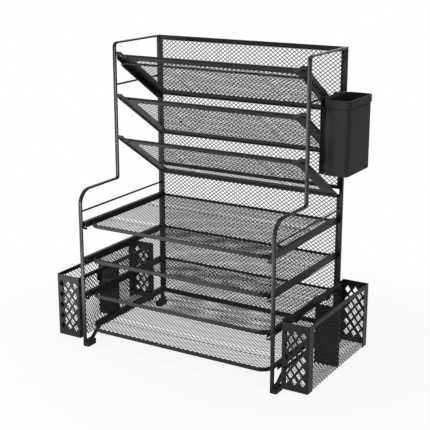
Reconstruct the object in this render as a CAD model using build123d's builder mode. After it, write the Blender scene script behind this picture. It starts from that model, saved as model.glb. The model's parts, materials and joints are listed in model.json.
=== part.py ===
from build123d import *
import os
from math import atan2, cos, degrees, hypot, sin, radians, tan

# A free-standing steel mesh file sorter for a desk. Two stepped side frames carry
# four letter trays below and three slanted file shelves above, in front of a
# two-part mesh back. A pen holder hangs on each side and a small cup at the top
# right. X runs to the right, Y to the back and Z up, in millimetres, with the
# origin on the desk under the middle of the sorter.

# Side frames, flat bar bent into a stepped loop
frame_spacing = 355.0
frame_depth = 235.0
upright_setback = 104.3
upper_height = 227.6
step_rise = 50.7
bar_width = 6.6
bar_thickness = 3.2
bar_edge = 0.9
leg_bend = 25.0
upright_bend = 7.0
step_bend = 4.0
foot_bend = 8.0
rise_bend = 9.0
rise_angle = 35.0
foot_run = 14.0
bottom_run_drop = 13.25

# Guard wire and upper rung between the frame and its rear post
wire_diameter = 3.2
guard_drop = 35.0
upper_rung_drop = 68.8

# Rear posts, an upper length plugged into a lower one
post_depth = 5.0
post_edge = 0.8
post_joint_drop = 9.2
spigot_length = 12.0
spigot_wall = 1.2

# Sheet, mesh and the gaps left between fitted pieces
mesh_sheet = 1.0
strand_width = 4.4
seat_gap = 0.15
hook_gap = 0.3

# Letter trays
tray_count = 4
tray_pitch = 60.5
lowest_tray_height = 37.0
tray_setback = 4.5
tray_corner = 20.0
rail_width = 6.8
rail_height = 10.0
rail_sheet = 1.0
rail_end_gap = 1.0
floor_drop = 8.0
band_sheet = 2.2
band_height = 6.5
band_rise = 4.5
tray_border = 7.0
tray_columns = 6
tray_rows = 3
tab_width = 7.5
tab_length = 14.0
tab_height = 4.0

# Slanted file shelves
shelf_count = 3
shelf_pitch = 69.9
top_shelf_drop = 18.2
shelf_drop = 80.0
shelf_setback = 3.0
shelf_corner = 13.0
shelf_lip = 4.0
shelf_sheet = 1.2
shelf_side_border = 21.0
shelf_end_border = 17.0
shelf_opening_corner = 12.0
shelf_rear_gap = 2.7
side_bar_sheet = 2.4
side_bar_height = 4.0
brace_bar_extra = 4.6
ear_sheet = 2.2
ear_height = 6.0
ear_rise = 4.4
ear_level = 8.5
ear_slant = 8.0
ear_fall = 4.8
ear_reach = 6.5
shelf_columns = 5
shelf_rows = 2
rib_width = 2.0
rib_depth = 1.2
rib_place_share = 0.25

# Brace rod under the top shelf
brace_diameter = 4.2
brace_sides = 8
brace_setback = 11.0
brace_bend = 10.0

# Mesh back panels
panel_thickness = 3.0
panel_side = 4.2
panel_top_band = 8.0
panel_lower_band = 6.0
panel_gap = 9.0
panel_gap_below_share = 0.25
panel_lap = 2.6
lower_panel_height = 24.0
panel_columns = 7
upper_panel_rows = 5
lower_panel_rows = 5

# Feet
foot_width = 12.2
foot_length = 22.0
foot_height = 8.5
foot_base = 2.5
foot_lap = 2.5
foot_edge = 1.5
prong_width = 2.6
prong_length = 5.0
prong_height = 6.0

# Side pen holders
holder_width = 45.5
holder_length = 223.0
holder_rise = 19.5
holder_lift = 9.0
holder_setback = 3.8
holder_side_gap = 9.3
holder_sheet = 1.0
holder_flange = 16.5
holder_fold = 1.8
holder_rim = 6.5
holder_rim_width = 2.7
cutout_columns = 3
cutout_rows = 5
cutout_side_margin = 2.05
cutout_end_margin = 7.0
cutout_strand = 3.6
holder_columns = 4
holder_rows = 2
holder_floor_columns = 2
holder_floor_rows = 5
holder_border = 6.0
divider_flange = 6.0
hook_sheet = 1.2
hook_width = 14.0
hook_spacing = 110.0
hook_lip = 6.0
holder_hook_play = 0.7

# Hanging pen cup
cup_width = 40.8
cup_length = 89.5
cup_height = 117.1
cup_rise = 2.0
cup_setback = 30.5
cup_wall = 1.4
cup_corner = 6.0
collar_height = 12.0
collar_step = 1.5
hanger_gap = 1.4
hanger_sheet = 1.2
hanger_depth = 6.15
cup_hook_width = 12.0
cup_hook_spacing = 50.0
cup_hook_play = 0.35

# Places worked out from the sizes above
frame_x = frame_spacing / 2
leg_y = -frame_depth / 2
upright_y = leg_y + upright_setback
post_y = frame_depth / 2
post_front = post_y - post_depth / 2
leg_back = leg_y + bar_thickness / 2
upright_back = upright_y + bar_thickness / 2
tray_tops = [lowest_tray_height + tray_pitch * step for step in reversed(range(tray_count))]
step_height = tray_tops[0] + step_rise
top_height = step_height + upper_height
frame_inside = frame_x - bar_width / 2
frame_outside = frame_x + bar_width / 2
wire_radius = wire_diameter / 2
guard_height = step_height - guard_drop
upper_rung_height = top_height - upper_rung_drop
post_joint_height = step_height - post_joint_drop
rail_x = frame_inside - seat_gap - rail_width / 2
rail_inside = rail_x - rail_width / 2
tray_front = leg_y + tray_setback
tray_rear = post_y - panel_thickness / 2 - hook_gap
bottom_run_height = tray_tops[-1] - bottom_run_drop
foot_run_height = foot_base + bar_thickness / 2
shelf_front = upright_y + shelf_setback
side_bar_rear = post_y - panel_thickness / 2 - hook_gap
shelf_rear = side_bar_rear - shelf_rear_gap
shelf_slope = degrees(atan2(shelf_drop, shelf_rear - shelf_front))
shelf_length = hypot(shelf_drop, shelf_rear - shelf_front)
side_bar_outside = frame_inside - seat_gap
shelf_half_width = side_bar_outside - side_bar_sheet - seat_gap
lower_panel_top = post_joint_height - panel_gap * panel_gap_below_share
upper_panel_bottom = lower_panel_top + panel_gap
upper_panel_top = top_height + bar_thickness / 2
holder_inside = frame_outside + holder_side_gap
holder_outside = holder_inside + holder_width
holder_front = leg_y + holder_setback
holder_rear = holder_front + holder_length
holder_top = tray_tops[2] + holder_rise
holder_height = holder_top - holder_lift
hanger_inside = frame_outside + hanger_gap
cup_inside = hanger_inside + hanger_depth + seat_gap
cup_outside = cup_inside + cup_width
cup_top = upper_rung_height + cup_rise
cup_front = upright_y + cup_setback
cup_rear = cup_front + cup_length
cup_bottom = cup_top - cup_height

os.makedirs("parts", exist_ok=True)


def keep(piece, name):
    """Labels one finished sub-part and writes its file."""
    piece.part.label = name
    export_step(piece.part, f"parts/{name}.step")


def lattice(width, length, columns, rows, strand, mode=Mode.SUBTRACT):
    """Staggered diamonds in the open sketch, with crossing strands left between."""
    pitch_x = width / columns
    pitch_y = length / rows
    open_share = 1 - strand * hypot(pitch_x, pitch_y) / (pitch_x * pitch_y)
    reach_x = open_share * pitch_x / 2
    reach_y = open_share * pitch_y / 2
    corners = [(reach_x, 0), (0, reach_y), (-reach_x, 0), (0, -reach_y)]
    with GridLocations(pitch_x, pitch_y, columns, rows):
        Polygon(*corners, mode=mode)
    with GridLocations(pitch_x, pitch_y, columns - 1, rows - 1):
        Polygon(*corners, mode=mode)


def mesh_plate(plane, width, length, border, columns, rows):
    """A flat rectangular mesh, centred on its plane, with a plain border."""
    with BuildPart() as plate:
        with BuildSketch(plane):
            Rectangle(width, length)
            lattice(width - 2 * border, length - 2 * border, columns, rows, strand_width)
        extrude(amount=mesh_sheet / 2, both=True)
    return plate


def frame_route():
    """Corners of a side frame's centre line as (Y, Z), from the top back corner."""
    rise = bottom_run_height - foot_run_height
    rise_start = leg_y + foot_run
    rise_end = rise_start + rise / tan(radians(rise_angle))
    return [
        (post_front, top_height),
        (upright_y, top_height),
        (upright_y, step_height),
        (leg_y, step_height),
        (leg_y, foot_run_height),
        (rise_start, foot_run_height),
        (rise_end, bottom_run_height),
        (post_front, bottom_run_height),
    ]


frame_bends = [upright_bend, step_bend, leg_bend, foot_bend, rise_bend, rise_bend]


def frame_bar(side, spare):
    """The bent flat bar of one side, with spare added all round its section."""
    with BuildPart() as bar:
        with BuildLine(Plane.YZ.offset(side * frame_x)) as centre_line:
            FilletPolyline(*frame_route(), radius=frame_bends)
        start = centre_line.line @ 0
        heading = centre_line.line % 0
        with BuildSketch(Plane(origin=start, x_dir=(1, 0, 0), z_dir=heading)):
            section = Rectangle(bar_width + 2 * spare, bar_thickness + 2 * spare)
            chamfer(section.vertices(), bar_edge)
        sweep()
    return bar


def rung_wires(side):
    """Straight wires of one side: the guard wire and the upper rung."""
    with BuildPart() as rungs:
        for front, height in ((leg_back, guard_height), (upright_back, upper_rung_height)):
            with BuildSketch(Plane.XZ.offset(-post_front)):
                with Locations((side * frame_x, height)):
                    Circle(wire_radius)
            extrude(amount=post_front - front)
    return rungs


def upper_post(side):
    """Upper rear post with a reduced spigot at its lower end."""
    with BuildPart() as post:
        with BuildSketch(Plane.XY.offset(post_joint_height)):
            with Locations((side * frame_x, post_y)):
                section = Rectangle(bar_width, post_depth)
            chamfer(section.vertices(), post_edge)
        extrude(amount=upper_panel_top - post_joint_height)
        with BuildSketch(Plane.XY.offset(post_joint_height)):
            with Locations((side * frame_x, post_y)):
                Rectangle(bar_width - 2 * spigot_wall, post_depth - 2 * spigot_wall)
        extrude(amount=-spigot_length)
    return post


def lower_post(side):
    """Lower rear post, bored at its top end for the spigot."""
    with BuildPart() as post:
        with BuildSketch(Plane.XY.offset(foot_base)):
            with Locations((side * frame_x, post_y)):
                section = Rectangle(bar_width, post_depth)
            chamfer(section.vertices(), post_edge)
        extrude(amount=post_joint_height - foot_base)
        with BuildSketch(Plane.XY.offset(post_joint_height)):
            with Locations((side * frame_x, post_y)):
                Rectangle(
                    bar_width - 2 * (spigot_wall - seat_gap),
                    post_depth - 2 * (spigot_wall - seat_gap),
                )
        extrude(amount=-(spigot_length + seat_gap), mode=Mode.SUBTRACT)
    return post


def back_panel(bottom, top, top_band, rows, name):
    """One back panel: a mesh held in the groove of its sheet rim."""
    width = 2 * (frame_inside - seat_gap)
    open_width = width - 2 * panel_side
    open_bottom = bottom + panel_lower_band
    open_top = top - top_band
    open_height = open_top - open_bottom
    middle = Plane(origin=(0, post_y, (open_top + open_bottom) / 2), x_dir=(1, 0, 0), z_dir=(0, -1, 0))
    mesh = mesh_plate(
        middle, open_width + 2 * panel_lap, open_height + 2 * panel_lap, panel_lap, panel_columns, rows
    )
    keep(mesh, f"{name}_mesh")
    with BuildPart() as rim:
        with BuildSketch(middle):
            with Locations((0, (bottom + top - open_bottom - open_top) / 2)):
                Rectangle(width, top - bottom)
            Rectangle(open_width, open_height, mode=Mode.SUBTRACT)
        extrude(amount=panel_thickness / 2, both=True)
        with BuildSketch(middle):
            Rectangle(open_width + 2 * (panel_lap + seat_gap), open_height + 2 * (panel_lap + seat_gap))
        extrude(amount=mesh_sheet / 2 + seat_gap, both=True, mode=Mode.SUBTRACT)
    keep(rim, f"{name}_rim")


def front_edge(half_width, front, corner):
    """Draws a straight front edge between two quarter-round corners."""
    turn = front + corner
    CenterArc((half_width - corner, turn), corner, 0, -90)
    Line((half_width - corner, front), (corner - half_width, front))
    CenterArc((corner - half_width, turn), corner, -90, -90)


def tray_floor(top):
    """Mesh floor of a tray, its front corners following the band."""
    turn = tray_front + tray_corner
    with BuildPart() as floor:
        with BuildSketch(Plane.XY.offset(top - floor_drop)):
            with Locations((0, (turn + tray_rear) / 2)):
                Rectangle(2 * rail_inside, tray_rear - turn)
            inner = rail_inside - band_sheet - seat_gap
            with BuildLine():
                front_edge(inner, tray_front + rail_inside - inner, tray_corner + inner - rail_inside)
                Line((-inner, turn), (inner, turn))
            make_face()
            with Locations((0, (tray_front + tray_rear) / 2)):
                lattice(
                    2 * (rail_inside - tray_border),
                    tray_rear - tray_front - 2 * tray_border,
                    tray_columns,
                    tray_rows,
                    strand_width,
                )
        extrude(amount=-mesh_sheet)
    return floor


def tray_band(top):
    """Raised front band with round corners, and the straight rear band."""
    turn = tray_front + tray_corner
    floor_top = top - floor_drop
    inner = rail_inside - band_sheet
    with BuildPart() as band:
        with BuildSketch(Plane.XY.offset(floor_top + band_rise)):
            with BuildLine():
                front_edge(rail_inside, tray_front, tray_corner)
                Line((-rail_inside, turn), (-inner, turn))
                front_edge(inner, tray_front + band_sheet, tray_corner - band_sheet)
                Line((inner, turn), (rail_inside, turn))
            make_face()
        extrude(amount=-band_height)
        with BuildSketch(Plane.XY.offset(floor_top)):
            with Locations((0, tray_rear - band_sheet / 2)):
                Rectangle(2 * (rail_inside - seat_gap), band_sheet)
        extrude(amount=band_rise)
    return band


def tray_rails(top, front):
    """The two side rails between legs and posts, each folded as an upturned channel."""
    with BuildPart() as rails:
        with BuildSketch(Plane.XZ.offset(-tray_rear)):
            with Locations((rail_x, top), (-rail_x, top)):
                Rectangle(rail_width, rail_height, align=(Align.CENTER, Align.MAX))
            with Locations((rail_x, top - rail_sheet), (-rail_x, top - rail_sheet)):
                Rectangle(
                    rail_width - 2 * rail_sheet,
                    rail_height,
                    align=(Align.CENTER, Align.MAX),
                    mode=Mode.SUBTRACT,
                )
        extrude(amount=tray_rear - front)
    return rails


def tray_tabs(side):
    """Small supports on the inside of a leg, one under the front of each tray."""
    middle_x = side * (frame_inside - seat_gap - tab_width / 2)
    with BuildPart() as tabs:
        for top in tray_tops:
            band_bottom = top - floor_drop + band_rise - band_height
            with BuildSketch(Plane.XY.offset(band_bottom - seat_gap)):
                with Locations((middle_x, leg_y - bar_thickness / 2)):
                    Rectangle(tab_width, tab_length, align=(Align.CENTER, Align.MIN))
            extrude(amount=-tab_height)
    return tabs


def shelf_plane(step):
    """The top surface of a shelf, with y running down the slope from its front."""
    slope = radians(shelf_slope)
    return Plane(
        origin=(0, shelf_front, top_height - top_shelf_drop - shelf_pitch * step),
        x_dir=(1, 0, 0),
        z_dir=(0, sin(slope), cos(slope)),
    )


def shelf_outline(half_width, front, rear, corner):
    """Draws the closed outline of a shelf sheet, with its two front corners rounded."""
    FilletPolyline(
        (half_width, rear),
        (half_width, front),
        (-half_width, front),
        (-half_width, rear),
        radius=corner,
    )
    Line((-half_width, rear), (half_width, rear))


def shelf_mesh(step):
    """Mesh of a shelf, laid on its rim, with two ribs pressed along its underside."""
    inset = band_sheet + seat_gap
    open_length = shelf_length - 2 * shelf_end_border
    with BuildPart() as mesh:
        with BuildSketch(shelf_plane(step)):
            with BuildLine():
                shelf_outline(shelf_half_width - inset, inset, shelf_length - inset, shelf_corner - inset)
            make_face()
            with Locations((0, shelf_length / 2)):
                lattice(
                    2 * (shelf_half_width - shelf_side_border),
                    open_length,
                    shelf_columns,
                    shelf_rows,
                    strand_width,
                )
        extrude(amount=-mesh_sheet)
        with BuildSketch(shelf_plane(step).offset(-mesh_sheet)):
            rib_x = 2 * shelf_half_width * rib_place_share
            with Locations((-rib_x, shelf_length / 2), (rib_x, shelf_length / 2)):
                Rectangle(rib_width, open_length - 2 * seat_gap)
        extrude(amount=-rib_depth)
    return mesh


def shelf_rim(step):
    """Rim of a shelf: a lip round it and a wide flat border that the mesh lies on."""
    inset = band_sheet / 2
    with BuildPart() as rim:
        with BuildSketch(shelf_plane(step)):
            with BuildLine():
                shelf_outline(shelf_half_width, 0, shelf_length, shelf_corner)
            make_face()
            offset(amount=-band_sheet, mode=Mode.SUBTRACT)
        extrude(amount=-shelf_lip)
        with BuildSketch(shelf_plane(step).offset(-mesh_sheet - seat_gap)):
            with BuildLine():
                shelf_outline(shelf_half_width - inset, inset, shelf_length - inset, shelf_corner - inset)
            make_face()
            with BuildLine():
                shelf_outline(
                    shelf_half_width - shelf_side_border,
                    shelf_end_border,
                    shelf_length - shelf_end_border,
                    shelf_opening_corner,
                )
            make_face(mode=Mode.SUBTRACT)
        extrude(amount=-shelf_sheet)
    return rim


def shelf_side_bars(step):
    """Strips along both sides of a shelf, and a bent ear from each upright to its lip."""
    slope = radians(shelf_slope)
    height = side_bar_height + brace_bar_extra if step == 0 else side_bar_height
    level = top_height - top_shelf_drop - shelf_pitch * step
    ear_back = shelf_front - shelf_lip * sin(slope) - seat_gap
    strip_front = ear_back + seat_gap
    front_z = level + (shelf_front - strip_front) * tan(slope)
    rear_z = level - (side_bar_rear - shelf_front) * tan(slope)
    strip = [
        (strip_front, front_z),
        (side_bar_rear, rear_z),
        (side_bar_rear, rear_z - height / cos(slope)),
        (strip_front, front_z - height / cos(slope)),
    ]
    bend_x = side_bar_outside - ear_level
    inner_x = bend_x - ear_slant
    ear_top = [
        (side_bar_outside, level + ear_rise),
        (bend_x, level + ear_rise),
        (inner_x, level + ear_rise - ear_fall),
        (inner_x - ear_reach, level + ear_rise - ear_fall),
    ]
    ear = ear_top + [(x, z - ear_height) for x, z in reversed(ear_top)]
    with BuildPart() as bars:
        for side in (-1, 1):
            with BuildSketch(Plane.YZ.offset(side * (side_bar_outside - side_bar_sheet / 2))):
                with BuildLine():
                    Polyline(*strip, close=True)
                make_face()
            extrude(amount=side_bar_sheet / 2, both=True)
            with BuildSketch(Plane.XZ.offset(-ear_back)):
                with BuildLine():
                    Polyline(*[(side * x, z) for x, z in ear], close=True)
                make_face()
            extrude(amount=ear_sheet)
    return bars


def shelf_brace():
    """Rod bent to a U below the top shelf, its arms lying under the side strips."""
    brace_drop = side_bar_height + brace_bar_extra + seat_gap + brace_diameter / 2
    plane = shelf_plane(0).offset(-brace_drop)
    arm_x = side_bar_outside - brace_diameter / 2
    with BuildPart() as brace:
        with BuildLine(plane) as centre_line:
            FilletPolyline(
                (-arm_x, shelf_length),
                (-arm_x, brace_setback),
                (arm_x, brace_setback),
                (arm_x, shelf_length),
                radius=brace_bend,
            )
        with BuildSketch(Plane(origin=centre_line.line @ 0, z_dir=centre_line.line % 0)):
            RegularPolygon(brace_diameter / 2, brace_sides)
        sweep()
    return brace


def foot_block(x, front, rear, prong_y):
    """Moulded foot block, set off to the right of its leg, with an upright prong."""
    with BuildPart() as block:
        with BuildSketch():
            with Locations((x - bar_width / 2, front)):
                Rectangle(foot_width, rear - front, align=Align.MIN)
        extrude(amount=foot_height)
        chamfer(block.edges().filter_by(Axis.Z), foot_edge)
        with BuildSketch(Plane.XY.offset(foot_height)):
            with Locations((x - bar_width / 2 + foot_width - foot_edge, prong_y)):
                Rectangle(prong_width, prong_length, align=(Align.MAX, Align.CENTER))
        extrude(amount=prong_height)
    return block


def front_foot(side):
    """Front foot, moulded round the bend at the bottom of the leg."""
    front = leg_y - foot_lap
    block = foot_block(side * frame_x, front, front + foot_length, leg_y + prong_length / 2)
    channel = frame_bar(side, seat_gap)
    with BuildPart() as foot:
        add(block.part)
        add(channel.part, mode=Mode.SUBTRACT)
    return foot


def rear_foot(side):
    """Rear foot with a socket for the lower post."""
    rear = post_y + foot_lap
    block = foot_block(side * frame_x, rear - foot_length, rear, post_y - prong_length / 2)
    with BuildPart() as foot:
        add(block.part)
        with BuildSketch(Plane.XY.offset(foot_base)):
            with Locations((side * frame_x, post_y)):
                socket = Rectangle(bar_width + 2 * seat_gap, post_depth + 2 * seat_gap)
            chamfer(socket.vertices(), post_edge)
        extrude(amount=foot_height, mode=Mode.SUBTRACT)
    return foot


def holder_end_wall(side, outer_y, inward):
    """Folded end wall of a pen holder with a lattice of diamond cut-outs."""
    x = side * (holder_inside + holder_outside) / 2
    fold_y = outer_y + inward * holder_flange / 2
    with BuildPart() as wall:
        with BuildSketch(Plane.XY.offset(holder_lift)):
            with Locations((x, fold_y)):
                Rectangle(holder_width, holder_flange)
            with Locations((x, fold_y + inward * holder_sheet)):
                Rectangle(holder_width - 2 * holder_sheet, holder_flange, mode=Mode.SUBTRACT)
        extrude(amount=holder_height)
        folds = wall.edges().filter_by(Axis.Z).group_by(Axis.Y)
        outer_folds = folds[0] if inward > 0 else folds[-1]
        fillet(outer_folds, holder_fold)
        face = Plane(
            origin=(x, outer_y, holder_lift + holder_height / 2), x_dir=(1, 0, 0), z_dir=(0, -1, 0)
        )
        with BuildSketch(face):
            lattice(
                holder_width - 2 * cutout_side_margin,
                holder_height - 2 * cutout_end_margin,
                cutout_columns,
                cutout_rows,
                cutout_strand,
                mode=Mode.ADD,
            )
        extrude(amount=holder_flange / 2, both=True, mode=Mode.SUBTRACT)
    return wall


def holder_side(face_x, inward):
    """Long mesh wall of a pen holder and the rim bar over its top edge."""
    mesh_x = face_x + inward * (holder_sheet + seat_gap + mesh_sheet / 2)
    mesh_length = holder_length - 2 * (holder_sheet + seat_gap)
    mesh_bottom = holder_lift + mesh_sheet + seat_gap
    mesh_top = holder_top - holder_rim / 2
    centre_y = (holder_front + holder_rear) / 2
    plane = Plane(
        origin=(mesh_x, centre_y, (mesh_bottom + mesh_top) / 2), x_dir=(0, 1, 0), z_dir=(1, 0, 0)
    )
    mesh = mesh_plate(
        plane, mesh_length, mesh_top - mesh_bottom, holder_border, holder_columns, holder_rows
    )
    with BuildPart() as rim:
        rim_length = holder_length - 2 * (holder_flange + seat_gap)
        rim_x = face_x + inward * holder_rim_width / 2
        with BuildSketch(Plane.XY.offset(holder_top)):
            with Locations((rim_x, centre_y)):
                Rectangle(holder_rim_width, rim_length)
        extrude(amount=-holder_rim)
        with BuildSketch(Plane.XY.offset(mesh_top + seat_gap)):
            with Locations((mesh_x, centre_y)):
                Rectangle(mesh_sheet + 2 * seat_gap, mesh_length)
        extrude(amount=-holder_rim, mode=Mode.SUBTRACT)
    return mesh, rim


def holder_floor(side):
    """Mesh floor of a pen holder, between its end walls and under its sides."""
    inset = holder_sheet + seat_gap
    centre_y = (holder_front + holder_rear) / 2
    plane = Plane(
        origin=(side * (holder_inside + holder_outside) / 2, centre_y, holder_lift + mesh_sheet / 2)
    )
    return mesh_plate(
        plane,
        holder_width - 2 * inset,
        holder_length - 2 * inset,
        holder_border,
        holder_floor_columns,
        holder_floor_rows,
    )


def holder_divider(side):
    """Upright partition, folded along both edges to lie against the side meshes."""
    inset = holder_sheet + mesh_sheet + 2 * seat_gap
    width = holder_width - 2 * inset
    x = side * (holder_inside + holder_outside) / 2
    bottom = holder_lift + mesh_sheet + seat_gap
    with BuildPart() as divider:
        with BuildSketch(Plane.XY.offset(bottom)):
            with Locations((x, (holder_front + holder_rear) / 2)):
                Rectangle(width, holder_sheet)
            for edge in (-1, 1):
                with Locations(
                    (
                        x + edge * (width - holder_sheet) / 2,
                        (holder_front + holder_rear + divider_flange) / 2 - holder_sheet / 2,
                    )
                ):
                    Rectangle(holder_sheet, divider_flange)
        extrude(amount=holder_top - holder_rim - seat_gap - bottom)
    return divider


def holder_hooks(side):
    """Two sheet hooks from the inner rim that drop over the rail of the third tray."""
    rail_top = tray_tops[2] + hook_gap
    lip_inner = side * (rail_inside - holder_hook_play - hook_sheet)
    lip_outer = side * (rail_inside - holder_hook_play)
    tab_inner = side * (holder_inside - seat_gap - hook_sheet)
    tab_outer = side * (holder_inside - seat_gap)
    centre_y = (holder_front + holder_rear) / 2
    with BuildPart() as hooks:
        for place in (-1, 1):
            rear = centre_y + place * hook_spacing / 2 + hook_width / 2
            with BuildSketch(Plane.XZ.offset(-rear)):
                with BuildLine():
                    Polyline(
                        (lip_inner, rail_top - hook_lip),
                        (lip_inner, rail_top + hook_sheet),
                        (tab_inner, rail_top + hook_sheet),
                        (tab_inner, holder_top),
                        (tab_outer, holder_top),
                        (tab_outer, rail_top),
                        (lip_outer, rail_top),
                        (lip_outer, rail_top - hook_lip),
                        close=True,
                    )
                make_face()
            extrude(amount=hook_width)
    return hooks


def cup_shell():
    """Folded cup with round upright corners and a stepped collar at its mouth."""
    centre = ((cup_inside + cup_outside) / 2, (cup_front + cup_rear) / 2)
    with BuildPart() as shell:
        with BuildSketch(Plane.XY.offset(cup_bottom)):
            with Locations(centre):
                RectangleRounded(cup_width, cup_length, cup_corner)
        extrude(amount=cup_height)
        with BuildSketch(Plane.XY.offset(cup_top)):
            with Locations(centre):
                RectangleRounded(
                    cup_width + 2 * collar_step, cup_length + 2 * collar_step, cup_corner + collar_step
                )
        extrude(amount=-collar_height)
        with BuildSketch(Plane.XY.offset(cup_bottom + cup_wall)):
            with Locations(centre):
                RectangleRounded(
                    cup_width - 2 * cup_wall, cup_length - 2 * cup_wall, cup_corner - cup_wall
                )
        extrude(amount=cup_height, mode=Mode.SUBTRACT)
    return shell


def cup_hanger():
    """Back plate of the cup with folded edges and two hooks over the upper rung."""
    wire_top = upper_rung_height + wire_radius + hook_gap
    lip_x = frame_x - wire_radius - cup_hook_play - hanger_sheet
    fold_top = cup_top - collar_height - seat_gap
    centre_y = (cup_front + cup_rear) / 2
    with BuildPart() as hanger:
        with BuildSketch(Plane.XY.offset(cup_bottom)):
            with Locations((hanger_inside, centre_y)):
                Rectangle(hanger_sheet, cup_length, align=(Align.MIN, Align.CENTER))
        extrude(amount=wire_top + hanger_sheet - cup_bottom)
        with BuildSketch(Plane.XY.offset(cup_bottom)):
            for edge in (-1, 1):
                with Locations((hanger_inside, centre_y + edge * (cup_length / 2 - cup_corner))):
                    Rectangle(hanger_depth, hanger_sheet, align=(Align.MIN, Align.CENTER))
        extrude(amount=fold_top - cup_bottom)
        for place in (-1, 1):
            rear = centre_y + place * cup_hook_spacing / 2 + cup_hook_width / 2
            with BuildSketch(Plane.XZ.offset(-rear)):
                with BuildLine():
                    Polyline(
                        (hanger_inside, wire_top + hanger_sheet),
                        (lip_x, wire_top + hanger_sheet),
                        (lip_x, wire_top - hook_lip),
                        (lip_x + hanger_sheet, wire_top - hook_lip),
                        (lip_x + hanger_sheet, wire_top),
                        (hanger_inside, wire_top),
                        close=True,
                    )
                make_face()
            extrude(amount=cup_hook_width)
    return hanger


# Side frames, rungs, posts and feet
for side_name, side in (("left", -1), ("right", 1)):
    keep(frame_bar(side, 0), f"{side_name}_frame")
    keep(rung_wires(side), f"{side_name}_rungs")
    keep(upper_post(side), f"{side_name}_upper_post")
    keep(lower_post(side), f"{side_name}_lower_post")
    keep(front_foot(side), f"{side_name}_front_foot")
    keep(rear_foot(side), f"{side_name}_rear_foot")

# Mesh back
back_panel(lower_panel_height, lower_panel_top, panel_lower_band, lower_panel_rows, "lower_back")
back_panel(upper_panel_bottom, upper_panel_top, panel_top_band, upper_panel_rows, "upper_back")

# Trays, numbered from the top, with the lowest one's rails starting behind its corners
for step, top in enumerate(tray_tops):
    lowest = step == tray_count - 1
    rail_front = tray_front + tray_corner if lowest else leg_y - bar_thickness / 2 + rail_end_gap
    keep(tray_floor(top), f"tray_{step + 1}_floor")
    keep(tray_band(top), f"tray_{step + 1}_band")
    keep(tray_rails(top, rail_front), f"tray_{step + 1}_rails")
for side_name, side in (("left", -1), ("right", 1)):
    keep(tray_tabs(side), f"{side_name}_tray_tabs")

# Slanted shelves, numbered from the top
for step in range(shelf_count):
    keep(shelf_mesh(step), f"shelf_{step + 1}_mesh")
    keep(shelf_rim(step), f"shelf_{step + 1}_rim")
    keep(shelf_side_bars(step), f"shelf_{step + 1}_side_bars")
keep(shelf_brace(), "top_shelf_brace")

# Pen holders
for side_name, side in (("left", -1), ("right", 1)):
    keep(holder_end_wall(side, holder_front, 1), f"{side_name}_holder_front_wall")
    keep(holder_end_wall(side, holder_rear, -1), f"{side_name}_holder_back_wall")
    outer_mesh, outer_rim = holder_side(side * holder_outside, -side)
    keep(outer_mesh, f"{side_name}_holder_outer_mesh")
    keep(outer_rim, f"{side_name}_holder_outer_rim")
    inner_mesh, inner_rim = holder_side(side * holder_inside, side)
    keep(inner_mesh, f"{side_name}_holder_inner_mesh")
    keep(inner_rim, f"{side_name}_holder_inner_rim")
    keep(holder_floor(side), f"{side_name}_holder_floor")
    keep(holder_divider(side), f"{side_name}_holder_divider")
    keep(holder_hooks(side), f"{side_name}_holder_hooks")

# Hanging cup
keep(cup_shell(), "cup_shell")
keep(cup_hanger(), "cup_hanger")
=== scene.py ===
import json
from math import ceil, copysign, cos, hypot, pi, radians, sin, tan

import bmesh
import bpy
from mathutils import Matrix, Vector


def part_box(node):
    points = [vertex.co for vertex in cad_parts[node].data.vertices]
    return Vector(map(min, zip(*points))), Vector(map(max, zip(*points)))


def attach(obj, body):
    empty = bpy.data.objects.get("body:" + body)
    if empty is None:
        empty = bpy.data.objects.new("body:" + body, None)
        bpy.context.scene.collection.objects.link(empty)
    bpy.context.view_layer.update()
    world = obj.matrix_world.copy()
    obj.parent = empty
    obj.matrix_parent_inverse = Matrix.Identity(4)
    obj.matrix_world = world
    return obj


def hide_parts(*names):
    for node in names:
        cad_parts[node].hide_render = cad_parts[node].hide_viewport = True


# The look of a steel mesh file sorter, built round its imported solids. Lengths are
# in metres in the frame of the solids: X to the right, Y to the back and Z up.

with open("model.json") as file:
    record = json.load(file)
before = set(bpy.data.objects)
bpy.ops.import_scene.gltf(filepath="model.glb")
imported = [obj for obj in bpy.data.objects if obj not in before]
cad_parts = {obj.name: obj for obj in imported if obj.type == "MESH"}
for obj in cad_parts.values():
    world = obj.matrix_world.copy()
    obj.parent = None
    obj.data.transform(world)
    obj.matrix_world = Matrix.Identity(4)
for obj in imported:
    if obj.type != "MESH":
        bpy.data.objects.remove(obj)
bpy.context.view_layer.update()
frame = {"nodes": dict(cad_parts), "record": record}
nodes = frame["nodes"]
record = frame["record"]
body_of_node = {
    node: body
    for body, members in record["behaviour"]["bodies"].items()
    for node in members
}
slot_of_node = {part["node"]: part["material_slot"] for part in record["subparts"]}

mm = 0.001
right, back, up = (1, 0, 0), (0, 1, 0), (0, 0, 1)
tray_numbers = range(1, 5)
shelf_numbers = range(1, 4)

# Diamond mesh: the diamonds' width and height, and the flat strands round them.
# A strand's section is given in shares of its width and depth.
wide_diamond = (8.65 * mm, 6.65 * mm)
square_diamond = (7.9 * mm, 7.9 * mm)
strand_width = 1.15 * mm
strand_depth = 0.45 * mm
strand_stagger = 0.08 * mm
strand_section = [(0.5, 0), (0.3, 0.5), (-0.3, 0.5), (-0.5, 0), (-0.3, -0.5), (0.3, -0.5)]
mesh_sheet = 1.0 * mm
tray_corner = 18 * mm
shelf_corner = 10.6 * mm
corner_steps = 8

# Limits for clipping strands: longer than any panel, and as good as parallel
line_reach = 10.0
parallel = 1e-12

# Stiffening ribs pressed into the shelf and tray meshes
rib_width = 19 * mm
rib_flank = 3.5 * mm
rib_depth = 1.6 * mm
shelf_ribs = (-88 * mm, 88 * mm)
tray_ribs = (-56 * mm, 56 * mm)

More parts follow.
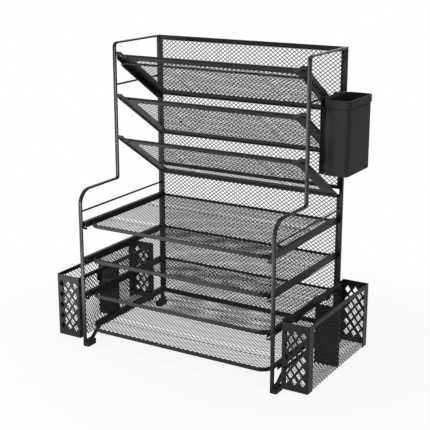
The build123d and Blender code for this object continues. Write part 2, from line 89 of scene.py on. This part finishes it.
# Bent flat bar of the side frames
bar_width = 6.6 * mm
bar_thickness = 3.2 * mm
upright_setback = 104.3 * mm
upper_height = 227.6 * mm
foot_run = 14 * mm
bottom_run_drop = 13.25 * mm
rise_angle = radians(35)
frame_bends = [7 * mm, 4 * mm, 25 * mm, 8 * mm, 9 * mm, 9 * mm]
bend_steps = 14
section_steps = 20
bar_roundness = 4.2

# Rounded edges
sheet_edge = 0.35 * mm
brace_edge = 0.4 * mm
hanger_edge = 0.55 * mm
foot_edge = 0.6 * mm
side_bar_edge = 0.7 * mm
band_edge = 0.9 * mm
edge_segments = 3

# Points this near are one, faces this even are one, and steeper folds are sharp
merge_distance = 0.002 * mm
even_angle = radians(0.6)
sharp_angle = radians(35)
bar_sharp_angle = radians(50)
cup_sharp_angle = radians(40)

# Welds at the wires' ends, and tabs on the legs
weld_length = 1.8 * mm
weld_height = 0.7 * mm
weld_steps = 4
tab_length = 5 * mm
tab_tip = 0.8 * mm
tab_foot = 0.4

# Folded cup
cup_wall = 1.4 * mm
cup_corner = 6 * mm
cup_bow = 1.6 * mm
cup_steps = 8
cup_floor_bend = 1.5 * mm
collar_step = 1.5 * mm
collar_height = 12 * mm

# Powder coat: patches of tone and of gloss, and the grain of its orange peel
tone_patch = 35 * mm
tone_shift = 0.12
gloss_patch = 6 * mm
gloss_shift = (-0.04, 0.05)
peel_grain = 1.1 * mm
peel_height = 0.1 * mm
ramp_start, ramp_end = 0.3, 0.7

# Camera, as fitted to the photograph
camera_azimuth = radians(30.831)
camera_elevation = radians(15.881)
camera_distance = 1681.22 * mm
camera_target = Vector((6.91 * mm, 0, 226.99 * mm))
camera_lens = 86.20
sensor_width = 36
clip_start = 0.05
clip_end = 30

# White surroundings: the level that lights the object, and the floor, whose own
# white makes up this share near the object and all of it further out
world_light = 0.42
floor_size = 6
floor_colour = (0.92, 0.92, 0.92, 1)
floor_roughness = 0.9
floor_specular = 0.1
floor_white = 0.9
shadow_reach = (0.3, 0.6)

# What the lamps face: the object's middle, and a place over the lamp on the floor
middle_of_object = Vector((0, 0, 250 * mm))
over_low_lamp = Vector((-0.25, -0.47, 0.3))


def powder_coat(name, colour, roughness, specular, peel=0.12):
    """Satin powder coat: orange-peel bump, uneven gloss and faint shifts of tone."""
    material = bpy.data.materials.new(name)
    material.use_nodes = True
    tree = material.node_tree
    shader = tree.nodes["Principled BSDF"]
    shader.inputs["Specular IOR Level"].default_value = specular
    place = tree.nodes.new("ShaderNodeTexCoord")

    def noise(size, detail):
        texture = tree.nodes.new("ShaderNodeTexNoise")
        texture.inputs["Scale"].default_value = 1 / size
        texture.inputs["Detail"].default_value = detail
        tree.links.new(place.outputs["Object"], texture.inputs["Vector"])
        return texture.outputs["Fac"]

    def ramp(factor, low, high):
        steps = tree.nodes.new("ShaderNodeValToRGB")
        first, last = steps.color_ramp.elements
        first.position, last.position = ramp_start, ramp_end
        first.color, last.color = (*low, 1), (*high, 1)
        tree.links.new(factor, steps.inputs["Fac"])
        return steps.outputs["Color"]

    darker = [part * (1 - tone_shift) for part in colour]
    lighter = [part * (1 + tone_shift) for part in colour]
    tone = ramp(noise(tone_patch, detail=3), darker, lighter)
    tree.links.new(tone, shader.inputs["Base Color"])
    glossier, duller = ([roughness + shift] * 3 for shift in gloss_shift)
    gloss = ramp(noise(gloss_patch, detail=4), glossier, duller)
    tree.links.new(gloss, shader.inputs["Roughness"])
    bump = tree.nodes.new("ShaderNodeBump")
    bump.inputs["Strength"].default_value = peel
    bump.inputs["Distance"].default_value = peel_height
    tree.links.new(noise(peel_grain, detail=2), bump.inputs["Height"])
    tree.links.new(bump.outputs["Normal"], shader.inputs["Normal"])
    return material


finishes = {
    "coated_bar": powder_coat(
        "satin_black_bar", (0.009, 0.009, 0.0095), roughness=0.25, specular=0.2, peel=0.04
    ),
    "coated_sheet": powder_coat(
        "satin_black_sheet", (0.016, 0.016, 0.0165), roughness=0.38, specular=0.08
    ),
    "coated_mesh": powder_coat(
        "satin_black_mesh", (0.011, 0.011, 0.0115), roughness=0.45, specular=0.08
    ),
    "foot_plastic": powder_coat(
        "matt_black_plastic", (0.012, 0.012, 0.012), roughness=0.55, specular=0.08, peel=0.25
    ),
}
cup_finish = powder_coat(
    "satin_black_cup", (0.027, 0.027, 0.028), roughness=0.42, specular=0.02, peel=0.06
)


def keep_flats(mesh, smooth_angle):
    """Leans each corner's normal to the largest faces beside it, so that flats shade flat."""
    beside = [[] for _ in mesh.vertices]
    for face in mesh.polygons:
        for vertex in face.vertices:
            beside[vertex].append((face.normal.copy(), face.area))
    corners = []
    for face in mesh.polygons:
        for vertex in face.vertices:
            lean = Vector()
            for normal, area in beside[vertex]:
                if normal.dot(face.normal) > cos(smooth_angle):
                    lean += normal * area
            corners.append(lean.normalized())
    mesh.normals_split_custom_set(corners)


def place_piece(name, mesh, stands_for, smooth_angle=sharp_angle, flats=True):
    """Links a mesh as the piece that stands for one node, with its body and finish."""
    piece = bpy.data.objects.new(name, mesh)
    bpy.context.scene.collection.objects.link(piece)
    mesh.materials.clear()
    mesh.materials.append(finishes[slot_of_node[stands_for]])
    mesh.shade_smooth()
    mesh.set_sharp_from_angle(angle=smooth_angle)
    if flats:
        keep_flats(mesh, smooth_angle)
    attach(piece, body_of_node[stands_for])
    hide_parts(stands_for)
    return piece


def from_lists(name, vertices, faces, stands_for, smooth_angle=sharp_angle, flats=True):
    """A piece from lists of points and faces."""
    mesh = bpy.data.meshes.new(name)
    mesh.from_pydata(vertices, [], faces)
    mesh.validate()
    return place_piece(name, mesh, stands_for, smooth_angle, flats)


def node_shape(node):
    """A copy of a node's shape to work on, with its doubled points merged."""
    shape = bmesh.new()
    shape.from_mesh(nodes[node].data)
    bmesh.ops.remove_doubles(shape, verts=shape.verts, dist=merge_distance)
    return shape


def dress(node, edge):
    """Stands for a node with a copy of its shape whose sharp edges are rounded."""
    shape = node_shape(node)
    bmesh.ops.dissolve_limit(
        shape, angle_limit=even_angle, verts=shape.verts, edges=shape.edges
    )
    sharp = [
        line
        for line in shape.edges
        if line.is_manifold and line.calc_face_angle() > sharp_angle
    ]
    bmesh.ops.bevel(
        shape,
        geom=sharp,
        offset=edge,
        offset_type="OFFSET",
        segments=edge_segments,
        profile=0.5,
        affect="EDGES",
        clamp_overlap=True,
    )
    mesh = bpy.data.meshes.new(f"{node}_shaped")
    shape.to_mesh(mesh)
    shape.free()
    place_piece(f"{node}_shaped", mesh, node)


def add_rings(vertices, faces, rings):
    """Adds one solid to a piece's lists: quads between rings of points, and two caps."""
    start, size = len(vertices), len(rings[0])
    for ring in rings:
        vertices += ring
    for here in range(start, start + (len(rings) - 1) * size, size):
        there = here + size
        for step in range(size):
            after = (step + 1) % size
            faces.append((here + step, here + after, there + after, there + step))
    last = start + (len(rings) - 1) * size
    faces.append(tuple(reversed(range(start, start + size))))
    faces.append(tuple(range(last, last + size)))


def rounded_route(corners, radii):
    """Points of a line through corners, with each inner corner turned into an arc."""
    route = [Vector(corners[0])]
    for before, corner, after, radius in zip(corners, corners[1:], corners[2:], radii):
        corner = Vector(corner)
        to_before = (Vector(before) - corner).normalized()
        to_after = (Vector(after) - corner).normalized()
        half = to_before.angle(to_after) / 2
        centre = corner + (to_before + to_after).normalized() * radius / sin(half)
        start = corner + to_before * radius / tan(half) - centre
        end = corner + to_after * radius / tan(half) - centre
        route += [
            centre + start.slerp(end, step / bend_steps) * radius
            for step in range(bend_steps + 1)
        ]
    route.append(Vector(corners[-1]))
    return route


def bar_section():
    """Flat oval of the bent bar: crowned faces and round edges."""

    def crowned(share):
        return copysign(abs(share) ** (2 / bar_roundness), share)

    points = []
    for step in range(section_steps):
        angle = 2 * pi * step / section_steps
        across = crowned(cos(angle)) * bar_width / 2
        through = crowned(sin(angle)) * bar_thickness / 2
        points.append((across, through))
    return points


def side_frame(side):
    """One side frame, swept along the bent bar's centre line."""
    node = f"{side}_frame"
    low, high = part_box(node)
    centre_x = (low.x + high.x) / 2
    half = bar_thickness / 2
    leg_y = low.y + half
    upright_y = leg_y + upright_setback
    top_z = high.z - half
    step_z = top_z - upper_height
    foot_z = low.z + half
    run_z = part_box("tray_4_rails")[1].z - bottom_run_drop
    rise_start = leg_y + foot_run
    rise_end = rise_start + (run_z - foot_z) / tan(rise_angle)
    corners = [
        (0, high.y, top_z),
        (0, upright_y, top_z),
        (0, upright_y, step_z),
        (0, leg_y, step_z),
        (0, leg_y, foot_z),
        (0, rise_start, foot_z),
        (0, rise_end, run_z),
        (0, high.y, run_z),
    ]
    route = rounded_route(corners, frame_bends)
    rings = []
    for index, point in enumerate(route):
        ahead = route[min(index + 1, len(route) - 1)] - point
        behind = point - route[max(index - 1, 0)]
        heading = (ahead.normalized() + behind.normalized()).normalized()
        outward = Vector((0, -heading.z, heading.y))
        rings.append(
            [
                point + Vector((centre_x + across, 0, 0)) + outward * through
                for across, through in bar_section()
            ]
        )
    vertices, faces = [], []
    add_rings(vertices, faces, rings)
    from_lists(f"{node}_bar", vertices, faces, node, bar_sharp_angle)


def islands(node):
    """Lowest and highest corners of each separate solid in a node, from the lowest up."""
    shape = node_shape(node)
    left = set(shape.verts)
    boxes = []
    while left:
        reached = {left.pop()}
        newest = set(reached)
        while newest:
            found = {line.other_vert(point) for point in newest for line in point.link_edges}
            newest = found - reached
            reached |= newest
        left -= reached
        spans = [[point.co[axis] for point in reached] for axis in range(3)]
        boxes.append((Vector(min(span) for span in spans), Vector(max(span) for span in spans)))
    shape.free()
    return sorted(boxes, key=lambda box: (box[0].z, box[0].y, box[0].x))


def rung_wires(side):
    """The straight wires of one side, each run out into its weld at both ends."""
    node = f"{side}_rungs"
    vertices, faces = [], []
    for low, high in islands(node):
        middle = (low + high) / 2
        radius = (high.z - low.z) / 2
        profile = []
        for step in range(weld_steps + 1):
            share = step / weld_steps
            flare = 0.5 * (1 + cos(pi * share))
            profile.append((low.y + weld_length * share, radius + weld_height * flare))
        profile += [(low.y + high.y - y, width) for y, width in reversed(profile)]
        turns = [2 * pi * step / section_steps for step in range(section_steps)]
        rings = [
            [(middle.x + width * sin(turn), y, middle.z + width * cos(turn)) for turn in turns]
            for y, width in profile
        ]
        add_rings(vertices, faces, rings)
    from_lists(f"{node}_wires", vertices, faces, node)


def tab_wedges(side):
    """The pointed tabs under the tray fronts, all but the lowest tray's."""
    node = f"{side}_tray_tabs"
    vertices, faces = [], []
    for low, high in islands(node)[1:]:
        leg_x, tip_x = (low.x, high.x) if side == "left" else (high.x, low.x)
        foot_z = low.z + (high.z - low.z) * tab_foot
        tip_z = foot_z + tab_tip
        profile = [(leg_x, high.z), (leg_x, foot_z), (tip_x, foot_z), (tip_x, tip_z)]
        if side == "left":
            profile.reverse()
        rings = [[(x, y, z) for x, z in profile] for y in (low.y, low.y + tab_length)]
        add_rings(vertices, faces, rings)
    from_lists(f"{node}_wedges", vertices, faces, node)


def cup_ring(low, high, corner, inset, z):
    """Points round the cup at one height, with bowed short sides."""
    x0, x1 = low.x + inset, high.x - inset
    y0, y1 = low.y + inset, high.y - inset
    radius = corner - inset
    left, right_end = x0 + radius, x1 - radius
    front, rear = y0 + radius, y1 - radius
    points = []
    for turn, (centre_x, centre_y, end_x) in enumerate(
        [
            (right_end, front, None),
            (right_end, rear, left),
            (left, rear, None),
            (left, front, right_end),
        ]
    ):
        for step in range(cup_steps + 1):
            angle = radians(90) * (turn - 1 + step / cup_steps)
            points.append((centre_x + radius * cos(angle), centre_y + radius * sin(angle)))
        if end_x is not None:
            y = points[-1][1]
            points += [
                (centre_x + (end_x - centre_x) * step / cup_steps, y)
                for step in range(1, cup_steps)
            ]
    ring = []
    for x, y in points:
        bow = cup_bow * ((2 * x - x0 - x1) / (x1 - x0)) ** 2
        ring.append((x, y + bow if y < (y0 + y1) / 2 else y - bow, z))
    return ring


def cup():
    """Folded cup: bowed ends, a collar round its mouth and a bead under the collar."""
    node = "cup_shell"
    low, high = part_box(node)
    top, bottom = high.z, low.z
    wall = collar_step + cup_wall
    seam = top - collar_height
    inside = [
        (wall + cup_floor_bend, bottom + cup_wall),
        (wall, bottom + cup_wall + cup_floor_bend),
        (wall, top - 0.5 * mm),
        (wall - 0.35 * mm, top),
    ]
    collar = [
        (0.6 * mm, top),
        (0.15 * mm, top - 0.2 * mm),
        (0, top - 0.7 * mm),
        (0, seam + 0.7 * mm),
        (0.2 * mm, seam + 0.2 * mm),
        (0.7 * mm, seam),
    ]
    groove_and_bead = [
        (collar_step + 0.5 * mm, seam - 0.1 * mm),
        (collar_step + 0.5 * mm, seam - 1.1 * mm),
        (collar_step - 0.1 * mm, seam - 1.5 * mm),
        (collar_step - 0.45 * mm, seam - 2.1 * mm),
        (collar_step - 0.45 * mm, seam - 2.7 * mm),
        (collar_step, seam - 3.6 * mm),
    ]
    bottom_edge = [
        (collar_step, bottom + 1.2 * mm),
        (collar_step + 0.35 * mm, bottom + 0.35 * mm),
        (collar_step + 1.2 * mm, bottom),
    ]
    rings = [
        cup_ring(low, high, cup_corner + collar_step, inset, z)
        for inset, z in inside + collar + groove_and_bead + bottom_edge
    ]
    vertices, faces = [], []
    add_rings(vertices, faces, rings)
    piece = from_lists(f"{node}_folded", vertices, faces, node, cup_sharp_angle)
    piece.data.materials[0] = cup_finish


def panel_axes(node, across, facing):
    """Axes of a flat node and its extent along them, from its widest face."""
    shape = nodes[node].data
    normal = max(shape.polygons, key=lambda face: face.area).normal.copy()
    if normal.dot(facing) < 0:
        normal.negate()
    axes = (across, normal.cross(across).normalized(), normal)
    spans = [[point.co.dot(axis) for point in shape.vertices] for axis in axes]
    return axes, [(min(span), max(span)) for span in spans]


def outline(u_span, v_span, corner):
    """Convex outline of a panel, with its two front corners round where asked."""
    (u0, u1), (v0, v1) = u_span, v_span
    if not corner:
        return [(u0, v0), (u1, v0), (u1, v1), (u0, v1)]
    turns = [radians(90) * step / corner_steps for step in range(corner_steps + 1)]
    arc = [(corner * sin(turn), corner * (1 - cos(turn))) for turn in turns]
    points = [(u1 - corner + u, v0 + v) for u, v in arc]
    points += [(u1, v1), (u0, v1)]
    points += [(u0 + corner - u, v0 + v) for u, v in reversed(arc)]
    return points


def clip(start, heading, shape):
    """Lengths along a line between which it lies inside a convex outline."""
    first, last = -line_reach, line_reach
    for (x0, y0), (x1, y1) in zip(shape, shape[1:] + shape[:1]):
        inward = (y0 - y1, x1 - x0)
        speed = inward[0] * heading[0] + inward[1] * heading[1]
        depth = inward[0] * (start[0] - x0) + inward[1] * (start[1] - y0)
        if abs(speed) < parallel:
            if depth < 0:
                return None
        elif speed > 0:
            first = max(first, -depth / speed)
        else:
            last = min(last, -depth / speed)
    return (first, last) if last - first > strand_width else None


def rib_drop(offset):
    """How far a pressed rib lowers the mesh at some distance from its middle line."""
    edge = rib_width / 2 - abs(offset)
    return rib_depth * min(1, max(0, edge / rib_flank))


def strand_mesh(node, across, facing, diamond, corner=0, ribs=(), rib_axis=0):
    """A diamond mesh of crossing flat strands, pressed down along its ribs."""
    axes, (u_span, v_span, w_span) = panel_axes(node, Vector(across), Vector(facing))
    level = w_span[1] - mesh_sheet / 2
    shape = outline(u_span, v_span, corner)
    width, height = diamond
    middle = ((u_span[0] + u_span[1]) / 2, (v_span[0] + v_span[1]) / 2)
    reach_u, reach_v = u_span[1] - u_span[0], v_span[1] - v_span[0]
    count = ceil((reach_u / width + reach_v / height) / 2)
    slant = hypot(width, height)
    creases = [
        rib + side * edge
        for rib in ribs
        for side in (-1, 1)
        for edge in (rib_width / 2, rib_width / 2 - rib_flank)
    ]

    def section(station, start, heading, lean):
        """Points round a strand at some length along it."""
        u, v = (start[axis] + station * heading[axis] for axis in (0, 1))
        offset = (u, v)[rib_axis] - middle[rib_axis]
        drop = max((rib_drop(offset - rib) for rib in ribs), default=0)
        w = level - drop + lean * strand_stagger
        ring = []
        for side, rise in strand_section:
            sideways = side * strand_width
            place = (u - sideways * heading[1], v + sideways * heading[0], w + rise * strand_depth)
            ring.append(sum((axis * amount for axis, amount in zip(axes, place)), Vector()))
        return ring

    vertices, faces = [], []
    for lean in (-1, 1):
        heading = (width / slant, lean * height / slant)
        for index in range(-count, count + 1):
            start = (middle[0] + (index + 0.5) * width, middle[1])
            inside = clip(start, heading, shape)
            if not inside:
                continue
            stops = [
                (crease + middle[rib_axis] - start[rib_axis]) / heading[rib_axis]
                for crease in creases
            ]
            bends = sorted(stop for stop in stops if inside[0] < stop < inside[1])
            stations = [inside[0], *bends, inside[1]]
            rings = [section(station, start, heading, lean) for station in stations]
            add_rings(vertices, faces, rings)
    from_lists(f"{node}_strands", vertices, faces, node, flats=False)


for panel in ("lower_back", "upper_back"):
    strand_mesh(f"{panel}_mesh", right, (0, -1, 0), wide_diamond)
    dress(f"{panel}_rim", sheet_edge)
for number in tray_numbers:
    strand_mesh(f"tray_{number}_floor", right, up, wide_diamond, tray_corner, tray_ribs, 1)
    dress(f"tray_{number}_band", band_edge)
    dress(f"tray_{number}_rails", sheet_edge)
for number in shelf_numbers:
    strand_mesh(f"shelf_{number}_mesh", right, up, wide_diamond, shelf_corner, shelf_ribs, 0)
    dress(f"shelf_{number}_rim", sheet_edge)
    dress(f"shelf_{number}_side_bars", side_bar_edge)
dress("top_shelf_brace", brace_edge)
for side, outward in (("left", -1), ("right", 1)):
    side_frame(side)
    rung_wires(side)
    tab_wedges(side)
    for post in ("upper_post", "lower_post"):
        dress(f"{side}_{post}", sheet_edge)
    for foot in ("front_foot", "rear_foot"):
        dress(f"{side}_{foot}", foot_edge)
    for wall in ("outer_mesh", "inner_mesh"):
        strand_mesh(f"{side}_holder_{wall}", back, (outward, 0, 0), square_diamond)
    strand_mesh(f"{side}_holder_floor", right, up, square_diamond)
    for piece in ("front_wall", "back_wall", "outer_rim", "inner_rim", "divider", "hooks"):
        dress(f"{side}_holder_{piece}", sheet_edge)
cup()
dress("cup_hanger", hanger_edge)


def stand_off(thing, target, azimuth, elevation, distance):
    """Puts a lamp or camera at a distance from its target, facing it.

    The azimuth runs from the front to the right.
    """
    away = Vector(
        (sin(azimuth) * cos(elevation), -cos(azimuth) * cos(elevation), sin(elevation))
    )
    thing.location = target + away * distance
    thing.rotation_euler = away.to_track_quat("Z", "Y").to_euler()
    bpy.context.scene.collection.objects.link(thing)


def area_light(name, target, azimuth, elevation, distance, width, height, power):
    """A soft box that faces its target and that the camera doesn't see."""
    lamp = bpy.data.lights.new(name, "AREA")
    lamp.shape = "RECTANGLE"
    lamp.size = width
    lamp.size_y = height
    lamp.energy = power
    box = bpy.data.objects.new(name, lamp)
    box.visible_camera = False
    stand_off(box, target, radians(azimuth), radians(elevation), distance)


def shown(tree):
    """1 on rays that show the surroundings: to the camera, in a gloss and through glass."""
    rays = tree.nodes.new("ShaderNodeLightPath")
    result = rays.outputs["Is Camera Ray"]
    for kind in ("Is Glossy Ray", "Is Transmission Ray"):
        either = tree.nodes.new("ShaderNodeMath")
        either.operation = "MAXIMUM"
        tree.links.new(result, either.inputs[0])
        tree.links.new(rays.outputs[kind], either.inputs[1])
        result = either.outputs[0]
    return result


def white_world(scene):
    """Surroundings that show white and light the object at a plain level."""
    world = bpy.data.worlds.new("studio")
    scene.world = world
    world.use_nodes = True
    tree = world.node_tree
    background = tree.nodes["Background"]
    background.inputs["Color"].default_value = (1, 1, 1, 1)
    level = tree.nodes.new("ShaderNodeMapRange")
    level.inputs["To Min"].default_value = world_light
    level.inputs["To Max"].default_value = 1
    tree.links.new(shown(tree), level.inputs["Value"])
    tree.links.new(level.outputs["Result"], background.inputs["Strength"])


def pale_floor(scene):
    """A floor that keeps the object's shadow and fades into the white further out."""
    shape = bmesh.new()
    bmesh.ops.create_grid(shape, x_segments=1, y_segments=1, size=floor_size)
    ground = bpy.data.meshes.new("floor")
    shape.to_mesh(ground)
    shape.free()
    floor_piece = bpy.data.objects.new("floor", ground)
    scene.collection.objects.link(floor_piece)
    paint = bpy.data.materials.new("pale_floor")
    paint.use_nodes = True
    tree = paint.node_tree
    matt = tree.nodes["Principled BSDF"]
    matt.inputs["Base Color"].default_value = floor_colour
    matt.inputs["Roughness"].default_value = floor_roughness
    matt.inputs["Specular IOR Level"].default_value = floor_specular
    glow = tree.nodes.new("ShaderNodeEmission")
    glow.inputs["Strength"].default_value = 1
    place = tree.nodes.new("ShaderNodeTexCoord")
    distance = tree.nodes.new("ShaderNodeVectorMath")
    distance.operation = "LENGTH"
    tree.links.new(place.outputs["Object"], distance.inputs[0])
    fade = tree.nodes.new("ShaderNodeMapRange")
    fade.interpolation_type = "SMOOTHSTEP"
    fade.inputs["From Min"].default_value = shadow_reach[0]
    fade.inputs["From Max"].default_value = shadow_reach[1]
    fade.inputs["To Min"].default_value = floor_white
    fade.inputs["To Max"].default_value = 1
    tree.links.new(distance.outputs["Value"], fade.inputs["Value"])
    share = tree.nodes.new("ShaderNodeMath")
    share.operation = "MULTIPLY"
    tree.links.new(shown(tree), share.inputs[0])
    tree.links.new(fade.outputs["Result"], share.inputs[1])
    mix = tree.nodes.new("ShaderNodeMixShader")
    tree.links.new(share.outputs[0], mix.inputs["Fac"])
    tree.links.new(matt.outputs["BSDF"], mix.inputs[1])
    tree.links.new(glow.outputs["Emission"], mix.inputs[2])
    tree.links.new(mix.outputs["Shader"], tree.nodes["Material Output"].inputs["Surface"])
    ground.materials.append(paint)


def lamps():
    """Soft boxes: three round the object, and one on the floor for the legs' stripes."""
    area_light(
        "key",
        middle_of_object,
        azimuth=-31,
        elevation=-5,
        distance=1.02,
        width=0.3,
        height=0.4,
        power=8,
    )
    area_light(
        "rim",
        middle_of_object,
        azimuth=58,
        elevation=-3,
        distance=1.2,
        width=0.14,
        height=0.36,
        power=2.4,
    )
    area_light(
        "top",
        middle_of_object,
        azimuth=-20,
        elevation=78,
        distance=1.8,
        width=0.9,
        height=0.9,
        power=9,
    )
    area_light(
        "low",
        over_low_lamp,
        azimuth=0,
        elevation=-90,
        distance=0.295,
        width=0.45,
        height=0.4,
        power=4.5,
    )


def photo_camera(scene):
    """The camera at the photograph's viewing angle."""
    camera = bpy.data.cameras.new("camera")
    camera.sensor_fit = "HORIZONTAL"
    camera.sensor_width = sensor_width
    camera.lens = camera_lens
    camera.clip_start = clip_start
    camera.clip_end = clip_end
    eye = bpy.data.objects.new("camera", camera)
    stand_off(eye, camera_target, camera_azimuth, camera_elevation, camera_distance)
    scene.camera = eye


studio = bpy.context.scene
studio.view_settings.view_transform = "Standard"
white_world(studio)
pale_floor(studio)
lamps()
photo_camera(studio)
